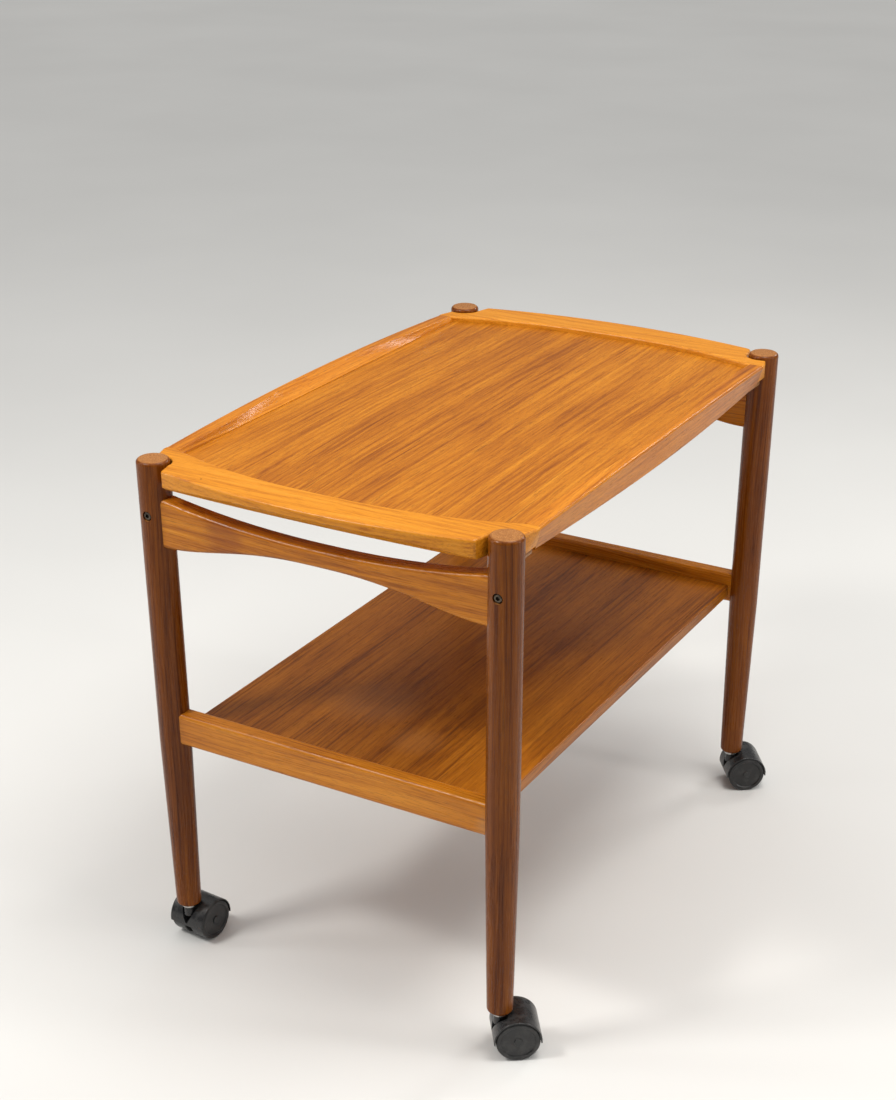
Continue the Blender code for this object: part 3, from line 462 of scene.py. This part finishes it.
for end in ("front", "back"):
    low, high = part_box(f"upper_rail_{end}")

    def rail_spot(index, along):
        """The rail in section: its two edges come together towards the middle of its length."""
        x = (2 * along - 1) * (rail_reach + RAIL_TENON)
        share = min(1.0, abs(x) / rail_reach)
        rise = share ** RAIL_ARCH_POWER
        top = high.z - RAIL_DIP * (1 - share ** RAIL_DIP_POWER)
        foot = low.z + RAIL_ARCH * (1 - rise * rise * (3 - 2 * rise))
        corners = [(low.y, foot), (high.y, foot), (high.y, top), (low.y, top)]
        section = corners_rounded(corners, RAIL_ROUND)
        return (x, *section[index])

    rail = rolled(28, 80, rail_spot)
    piece(rail, f"shaped_upper_rail_{end}", "frame", [f"upper_rail_{end}"], rail_teak)


# Lower end rails
# A straight teak rail joins each pair of legs lower down and holds the end of the shelf. Its
# edges are rounded like the upper rail's.

LOWER_RAIL_TENON = 0.008


def board(outline, low, high, axis):
    """A solid with an outline in a plane, between two places along the axis square to it."""
    shape = bmesh.new()
    spots = {"X": lambda a, b: (low, a, b), "Y": lambda a, b: (a, low, b), "Z": lambda a, b: (a, b, low)}
    face = bmesh.ops.contextual_create(
        shape, geom=[shape.verts.new(spots[axis](a, b)) for a, b in outline])["faces"]
    made = bmesh.ops.extrude_face_region(shape, geom=face)
    step = Vector([high - low if axis == each else 0 for each in "XYZ"])
    moved = [each for each in made["geom"] if isinstance(each, bmesh.types.BMVert)]
    bmesh.ops.translate(shape, vec=step, verts=moved)
    bmesh.ops.recalc_face_normals(shape, faces=shape.faces)
    return shape


def round_over(shape, radius, wanted, segments=6):
    """Rounds the edges whose two ends pass a test."""
    edges = [edge for edge in shape.edges
             if edge.calc_face_angle(0) > radians(20) and wanted(*(vert.co for vert in edge.verts))]
    bmesh.ops.bevel(shape, geom=edges, offset=radius, offset_type="OFFSET", affect="EDGES",
                    segments=segments, profile=0.5, material=-1, clamp_overlap=True)


for end in ("front", "back"):
    low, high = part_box(f"lower_rail_{end}")
    reach = rail_reach + LOWER_RAIL_TENON
    rail = board([(-reach, low.z), (reach, low.z), (reach, high.z), (-reach, high.z)], low.y, high.y, "Y")
    round_over(rail, RAIL_ROUND, lambda a, b: abs(a.x - b.x) > reach)
    piece(rail, f"straight_lower_rail_{end}", "frame", [f"lower_rail_{end}"], rail_teak)


# Shelf
# A veneered board lies between the lower rails, with a strip of solid teak along each long edge.
# The veneer is hazy in places, and its back, deep under the tray, is painted darker as painted shade.

SHELF_EDGE_ROUND = 0.0018

shelf_teak = teak("shelf_teak_veneer", 1, ((0.080, 0.018, 0.0015), (0.190, 0.051, 0.0028),
                                           (0.330, 0.103, 0.005), (0.450, 0.155, 0.010)),
                  streaks=0.7, rings=0.3, gloss=0.33, broad=0.55,
                  marks=[((-0.04, -0.18, 0.2965), 0.070, (0.420, 0.190, 0.070), 0.30),
                         ((0.05, -0.24, 0.2965), 0.045, (0.460, 0.200, 0.060), 0.25),
                         # The last mark is painted shade: the back of the shelf, deep under the tray, is
                         # painted darker.
                         ((0.08, 0.10, 0.2965), 0.090, (0.120, 0.030, 0.004), 0.30)])
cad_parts["shelf_board"].material_slots[0].material = shelf_teak

for side in ("left", "right"):
    low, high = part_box(f"shelf_lipping_{side}")
    strip = board([(low.x, low.z), (high.x, low.z), (high.x, high.z), (low.x, high.z)], low.y, high.y, "Y")
    outer = max(abs(low.x), abs(high.x))
    round_over(strip, SHELF_EDGE_ROUND,
               lambda a, b: min(abs(a.x), abs(b.x)) > outer - 1e-6 and abs(a.y - b.y) > 0.1, 4)
    piece(strip, f"shelf_edge_{side}", "frame", [f"shelf_lipping_{side}"], shelf_teak)


# Tray
# A thin veneered panel framed by four rims of solid teak, made to lift off. The rims at the ends
# bow outwards, are notched round the legs, and have a cove under their outer edge for the fingers.
# The rims at the sides are dished, and rise to a narrow crest in the middle of their length.

TIP_IN = 0.024
END_BOW = 0.0205
INNER_BOW = 0.0315
SEAM_IN = 0.0415
NOTCH_CLEARANCE = 0.0017
RIM_ROUND = 0.0030
GRIP_FACE = 0.008
GRIP_FACE_AT_TIP = 0.019
GRIP_RUN = 0.0185
GRIP_RUN_AT_TIP = 0.003
RIM_LEAN = 0.28
SIDE_TIP_IN = 0.0195
SIDE_SLANT = Vector((-0.32, 0.95)).normalized()
INNER_POWER = 2.5
NOTCH_END = -184
TIP_ROUND = 0.0045
TIP_FLAT = 0.007
CORNER_IN = 0.002

panel_teak = teak("panel_teak_veneer", 1, ((0.135, 0.030, 0.0018), (0.280, 0.077, 0.0030),
                                           (0.430, 0.138, 0.005), (0.590, 0.220, 0.012)),
                  streaks=0.75, rings=0.3, gloss=0.34)
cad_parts["tray_panel"].material_slots[0].material = panel_teak
end_rim_teak = teak("end_rim_teak_oiled", 0, ((0.290, 0.080, 0.005), (0.470, 0.152, 0.007),
                                              (0.610, 0.225, 0.011), (0.700, 0.280, 0.024)),
                    streaks=0.3, rings=0.5, gloss=0.30, pith=(0, 0.1, -0.3), broad=0.4,
                    marks=[((-0.135, -0.349, 0.6055), 0.0016, (0.03, 0.008, 0.001), 0.9)])
side_rim_teak = teak("side_rim_teak_oiled", 1, ((0.180, 0.043, 0.003), (0.360, 0.102, 0.005),
                                                (0.520, 0.170, 0.008), (0.650, 0.240, 0.018)),
                     streaks=0.5, rings=0.5, gloss=0.30)

leg_low, leg_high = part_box("leg_back_right")
leg_middle = (leg_low + leg_high) / 2
leg_radius = (leg_high.x - leg_low.x) / 2
rim_low, rim_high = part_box("tray_end_rim_back")
side_low, side_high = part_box("tray_side_rim_right")
panel_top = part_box("tray_panel")[1].z
panel_half = side_low.x
tip_x = leg_middle.x - TIP_IN
tip_y = rim_high.y - END_BOW
seam_y = leg_middle.y - SEAM_IN
corner_x = leg_high.x - CORNER_IN


def rim_inner(x):
    return seam_y + INNER_BOW * (1 - (abs(x) / panel_half) ** INNER_POWER)


def rim_outer(x):
    return tip_y + END_BOW * (1 - (x / tip_x) ** 2)


def steps(low, high, count):
    return [low + (high - low) * step / count for step in range(count + 1)]


def meeting(point, way, radius):
    """Where a line through a point first meets the circle of a radius round the leg."""
    point, way = Vector(point) - leg_middle.xy, Vector(way).normalized()
    along = -point.dot(way)
    beside = (point + way * along).length
    return point + way * (along - sqrt(radius * radius - beside * beside)) + leg_middle.xy


def end_rim_outline(depth):
    """The end rim in plan, at a depth below its top."""
    inset = RIM_ROUND - sqrt(RIM_ROUND ** 2 - max(0, RIM_ROUND - depth) ** 2)
    clear = leg_radius + NOTCH_CLEARANCE + inset
    side = corner_x - inset - RIM_LEAN * depth
    outward = Vector((SIDE_SLANT.y, -SIDE_SLANT.x))
    slant_start = Vector((corner_x, leg_middle.y - leg_radius - SIDE_TIP_IN)) - outward * inset
    bend = slant_start + SIDE_SLANT * ((side - slant_start.x) / SIDE_SLANT.x)
    tip_point = meeting(slant_start, SIDE_SLANT, clear)
    from_angle = degrees(atan2(*reversed(tip_point - leg_middle.xy)))
    notch = arc(leg_middle.x, leg_middle.y, clear, from_angle, NOTCH_END, 24)
    end_tip = (tip_x - inset, tip_y - inset - cove(tip_x, depth))
    outer_line = [(x, rim_outer(x) - inset - cove(x, depth))
                  for x in reversed(steps(-tip_x + TIP_FLAT, tip_x - TIP_FLAT, 44))]
    corner = [(side, seam_y), tuple(bend), *notch,
              *rounded_corner(notch[-1], end_tip, outer_line[0], TIP_ROUND - inset, 6)]
    reach = panel_half * (1 + inset / INNER_BOW) ** (1 / INNER_POWER)
    inner_line = [(x, rim_inner(x) + inset) for x in steps(-reach, reach, 44)]
    return corner + outer_line + [(-x, y) for x, y in reversed(corner)] + inner_line


def cove(x, depth):
    """How far the hollow for the fingers cuts in at x, at a depth below the rim's top."""
    share = min(1.0, abs(x) / tip_x) ** 2
    face = GRIP_FACE + (GRIP_FACE_AT_TIP - GRIP_FACE) * share
    run = GRIP_RUN + (GRIP_RUN_AT_TIP - GRIP_RUN) * share
    return run * (max(0, depth - face) / (rim_depth - face)) ** (2 / 3)


rim_depth = rim_high.z - rim_low.z
rim_depths = [RIM_ROUND * (1 - cos(pi / 2 * step / 6)) for step in range(7)]
rim_depths += steps(RIM_ROUND, GRIP_FACE, 3)[1:] + steps(GRIP_FACE, rim_depth, 14)[1:]
rim_outlines = [end_rim_outline(depth) for depth in rim_depths]


def end_rim_spot(index, along):
    level = round(along * (len(rim_depths) - 1))
    return (*rim_outlines[level][index], rim_high.z - rim_depths[level])


for end, half_turn in (("back", 0), ("front", pi)):
    rim = rolled(len(rim_outlines[0]), len(rim_depths) - 1, end_rim_spot)
    bmesh.ops.rotate(rim, matrix=Matrix.Rotation(half_turn, 3, "Z"), verts=rim.verts)
    piece(rim, f"bowed_end_rim_{end}", "tray", [f"tray_end_rim_{end}"], end_rim_teak)


SIDE_RISE = 0.0055
SIDE_BOW = 0.0035
SIDE_TOP_IN = 0.003
SIDE_CREST = 0.0050
SIDE_HOLLOW = 0.0010
SIDE_LIP = 0.0010
SIDE_POWER = 3.5
SIDE_FOOT_ROUND = 0.002
rim_end = side_high.y


def side_rim_section(y):
    """The rim's outline at y, as the same number of points everywhere."""
    share = max(0.0, 1 - (y / rim_end) ** 2)
    top = rim_high.z + SIDE_RISE * share
    outer = corner_x + SIDE_BOW * share
    foot = outer - RIM_LEAN * (top - side_low.z) * (1 - share)
    inner = panel_half + SIDE_TOP_IN
    inner += (outer - SIDE_CREST - inner) * share ** SIDE_POWER
    lip = panel_top + SIDE_LIP
    hollow = [(panel_half + (inner - panel_half) * part,
               lip + (top - lip) * part - 4 * SIDE_HOLLOW * share * part * (1 - part))
              for part in (0.2, 0.4, 0.6, 0.8)]
    return [
        (panel_half, side_low.z),
        *rounded_corner((panel_half, side_low.z), (foot, side_low.z), (outer, top), SIDE_FOOT_ROUND, 4),
        *rounded_corner((foot, side_low.z), (outer, top), (inner, top), RIM_ROUND * 1.05, 8),
        *rounded_corner((outer, top), (inner, top), hollow[-1], RIM_ROUND * 0.5, 6),
        *reversed(hollow),
        (panel_half, lip),
        (panel_half, panel_top),
    ]


def side_rim_spot(index, along):
    y = (2 * along - 1) * rim_end
    x, z = side_rim_section(y)[index]
    return (x, y, z)


for side, half_turn in (("right", 0), ("left", pi)):
    rim = rolled(len(side_rim_section(0)), 96, side_rim_spot)
    bmesh.ops.rotate(rim, matrix=Matrix.Rotation(half_turn, 3, "Z"), verts=rim.verts)
    piece(rim, f"dished_side_rim_{side}", "tray", [f"tray_side_rim_{side}"], side_rim_teak)


# Pegs
# A short beech peg stands out of each leg under the tray's corner, and the tray rests on the
# four. Their ends are lightly rounded.

PEG_EDGE = 0.0008

peg_paint = Paint("peg_beech")
peg_grain = peg_paint.noise(peg_paint.place(), (700, 30, 700), 2.0)
peg_colour = peg_paint.node("ValToRGB", {0: peg_grain},
                            stops=[(0.3, (0.26, 0.11, 0.035)), (0.7, (0.42, 0.20, 0.075))])
peg_beech = peg_paint.finish(Base_Color=peg_colour, Roughness=0.55)

for corner in CORNERS:
    low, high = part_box(f"tray_peg_{corner}")
    middle = (low + high) / 2
    radius, length = (high.x - low.x) / 2, high.y - low.y
    peg = turn([(0, length / 2), *arc(radius - PEG_EDGE, length / 2 - PEG_EDGE, PEG_EDGE, 90, 0, 4),
                *arc(radius - PEG_EDGE, PEG_EDGE - length / 2, PEG_EDGE, 0, -90, 4), (0, -length / 2)], 40)
    bmesh.ops.rotate(peg, matrix=Matrix.Rotation(pi / 2, 3, "X"), verts=peg.verts)
    bmesh.ops.translate(peg, vec=middle, verts=peg.verts)
    piece(peg, f"rest_peg_{corner}", "frame", [f"tray_peg_{corner}"], peg_beech)


# Rail screws
# A machine screw with a browned round head and a hexagon socket locks each upper rail's tenon. It
# runs into a steel insert inside the leg.

HEAD_RADIUS = 0.0048
HEAD_THICKNESS = 0.0045
HEAD_ROUND = 0.0015
SOCKET_RADIUS = 0.0024
SOCKET_DEPTH = 0.0026
SHANK_RADIUS = 0.0029

browned = Paint("browned_steel")
tarnish = browned.noise(browned.place(), (420, 420, 420), 3.0, 0.6)
browned_colour = browned.node("ValToRGB", {0: tarnish},
                              stops=[(0.3, (0.050, 0.040, 0.032)), (0.7, (0.160, 0.130, 0.100))])
browned_steel = browned.finish(Base_Color=browned_colour, Metallic=1.0,
                               Roughness=tarnish.between(0.2, 0.9) * 0.25 + 0.28)

for corner, side_y in CORNERS.items():
    low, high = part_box(f"rail_screw_{corner}")
    middle = (low + high) / 2
    length = high.y - low.y
    screw = turn([(0, 0), *arc(HEAD_RADIUS - HEAD_ROUND, -HEAD_ROUND, HEAD_ROUND, 90, 0, 6),
                  (HEAD_RADIUS, -HEAD_THICKNESS), (SHANK_RADIUS, -HEAD_THICKNESS),
                  (SHANK_RADIUS, -length), (0, -length)], 48)
    screw = cut(screw, rod(SOCKET_RADIUS, (0, 0, -SOCKET_DEPTH), (0, 0, 0.002), 6))
    bmesh.ops.rotate(screw, matrix=Matrix.Rotation(-side_y * pi / 2, 3, "X"), verts=screw.verts)
    head = high.y if side_y > 0 else low.y
    bmesh.ops.translate(screw, vec=(middle.x, head, middle.z), verts=screw.verts)
    piece(screw, f"socket_screw_{corner}", "frame", [f"rail_screw_{corner}"],
          browned_steel)


# Castors
# Each castor is a black moulded hood with a wheel on each side of its middle web. Its steel stem
# turns in a sleeve in the leg, and stands ahead of the axle so that the castor trails.

bright = Paint("zinc_plate")
scuffs = bright.noise(bright.place(), (260, 260, 900), 3.0, 0.6)
zinc_colour = bright.node("ValToRGB", {0: scuffs},
                          stops=[(0.3, (0.42, 0.41, 0.39)), (0.7, (0.62, 0.61, 0.58))])
zinc = bright.finish(Base_Color=zinc_colour, Metallic=1.0, Roughness=scuffs * 0.25 + 0.16)


def black_plastic(name, shade, gloss, dust):
    """Black moulded plastic with a faint grain, and dust that has settled in patches."""
    paint = Paint(name)
    place = paint.place()
    mottle = paint.noise(place, (90, 90, 90), 3.0, 0.6)
    grit = paint.noise(place, (2600, 2600, 2600), 2.0, 0.6)
    settled = mottle.between(0.45, 0.75) * dust
    colour = paint.mix(settled, (*shade, 1), (0.11, 0.105, 0.10, 1))
    return paint.finish(Base_Color=colour, Roughness=settled * 0.5 + grit * 0.10 + gloss,
                        Normal=paint.bump(grit, 0.10, 0.0002))


hood_plastic = black_plastic("hood_moulding", (0.0130, 0.0130, 0.0140), 0.22, 0.35)
wheel_plastic = black_plastic("wheel_moulding", (0.0100, 0.0100, 0.0105), 0.26, 0.30)

for name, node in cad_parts.items():
    if name.startswith(("screw_insert", "castor_socket", "castor_stem", "castor_axle")):
        node.material_slots[0].material = zinc

WHEEL_RADIUS = 0.0245
WHEEL_WIDTH = 0.020
HOOD_RADIUS = 0.0266
HOOD_HALF = 0.0246
WEB_HALF = 0.004
RUN_GAP = 0.0006
TRAIL = 0.018
WHEEL_EDGE = 0.0026
RIM_EDGE = 0.0006
AXLE_HOLE_RADIUS = 0.0026
AXLE_HOLE_DEPTH = 0.0098
HOOD_EDGE = 0.0009
NECK_RADIUS = 0.0065
BOSS_DROP = 0.0052
BOSS_DEPTH = 0.0115
BOSS_RADIUS = 0.0068
BOSS_ROOM_RADIUS = 0.0101
STEM_HOLE_RADIUS = 0.0033
STEM_HOLE_DEPTH = 0.0105
ABOVE_HOOD = 0.05
BESIDE_HOOD = 0.040


def wheel_blank():
    """A wheel standing on its inner face, with a raised rim round a dished disc and a small hub."""
    width, radius = WHEEL_WIDTH, WHEEL_RADIUS
    return turn([
        (0, width), *arc(0.0040, width - RIM_EDGE, RIM_EDGE, 90, 0, 4), (0.0048, width - 0.0012),
        (0.012, width - 0.0016), (0.0185, width - 0.0014),
        *arc(0.0200, width - RIM_EDGE, RIM_EDGE, 180, 90, 4),
        *arc(radius - WHEEL_EDGE, width - WHEEL_EDGE, WHEEL_EDGE, 90, 0, 8), (radius, 0.0045),
        (radius, 0.0015), *arc(radius - 0.0012, 0.0012, 0.0012, 0, -90, 4), (AXLE_HOLE_RADIUS, 0),
        (AXLE_HOLE_RADIUS, AXLE_HOLE_DEPTH), (0, AXLE_HOLE_DEPTH)], 96)


def hood_blank():
    """A solid hood with the middle of its axle at the origin, trailing towards +X."""
    outline = arc(0, 0, HOOD_RADIUS, -4, 186, 64) + arc(0, 0, NECK_RADIUS, 205, 335, 14)
    shape = board(outline, -HOOD_HALF, HOOD_HALF, "Y")
    round_over(shape, HOOD_EDGE,
               lambda a, b: abs(a.y - b.y) < 1e-6 and min(a.xz.length, b.xz.length) > 0.02, 4)
    return shape


def v_opening():
    """The opening at the hood's front that shows the stem's boss, wide above and narrow below."""
    outline = [(-0.0012, 0.0010), (0.0012, 0.0010), (0.0150, 0.0290), (-0.0150, 0.0290)]
    return board(outline, -BESIDE_HOOD, -0.0097, "X")


foot_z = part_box("leg_front_right")[0].z


def wheel_room(side):
    """The space that one wheel turns in."""
    return rod(WHEEL_RADIUS + RUN_GAP, (0, side * WEB_HALF, 0), (0, side * BESIDE_HOOD, 0), 96)


boss_height = foot_z - WHEEL_RADIUS - BOSS_DROP
for corner in CORNERS:
    low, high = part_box(f"leg_{corner}")
    axis_x, axis_y = (low.x + high.x) / 2, (low.y + high.y) / 2
    axle_low, axle_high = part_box(f"castor_axle_{corner}")
    axle = (axle_low + axle_high) / 2
    facing = Vector((axle.x - axis_x, axle.y - axis_y, 0)).to_track_quat("X", "Z").to_matrix().to_4x4()
    put = Matrix.Translation(axle) @ facing

    hood = cut(hood_blank(), v_opening())
    stem = (-TRAIL, 0)
    hood = cut(hood, rod(BOSS_ROOM_RADIUS, (*stem, boss_height), (*stem, ABOVE_HOOD), 64))
    for side in (1, -1):
        hood = cut(hood, wheel_room(side))
    boss = rod(BOSS_RADIUS, (*stem, boss_height - BOSS_DEPTH), (*stem, boss_height - 0.0003), 48)
    for side in (1, -1):
        boss = cut(boss, wheel_room(side))
    hood = joined(hood, boss, "UNION")
    stem_foot = boss_height - STEM_HOLE_DEPTH
    hood = cut(hood, rod(STEM_HOLE_RADIUS, (*stem, stem_foot), (*stem, ABOVE_HOOD), 32))
    hood = cut(hood, rod(AXLE_HOLE_RADIUS, (0, -0.03, 0), (0, 0.03, 0), 32))
    bmesh.ops.transform(hood, matrix=put, verts=hood.verts)
    piece(hood, f"moulded_hood_{corner}", f"castor_{corner}", [f"castor_hood_{corner}"],
          hood_plastic)

    for which, side in (("left", -1), ("right", 1)):
        wheel = wheel_blank()
        stand = Matrix.Translation((0, side * (WEB_HALF + RUN_GAP), 0))
        stand = stand @ Matrix.Rotation(-side * pi / 2, 4, "X")
        bmesh.ops.transform(wheel, matrix=put @ stand, verts=wheel.verts)
        piece(wheel, f"moulded_wheel_{corner}_{which}", f"wheel_{corner}_{which}",
              [f"wheel_{corner}_{which}"], wheel_plastic)
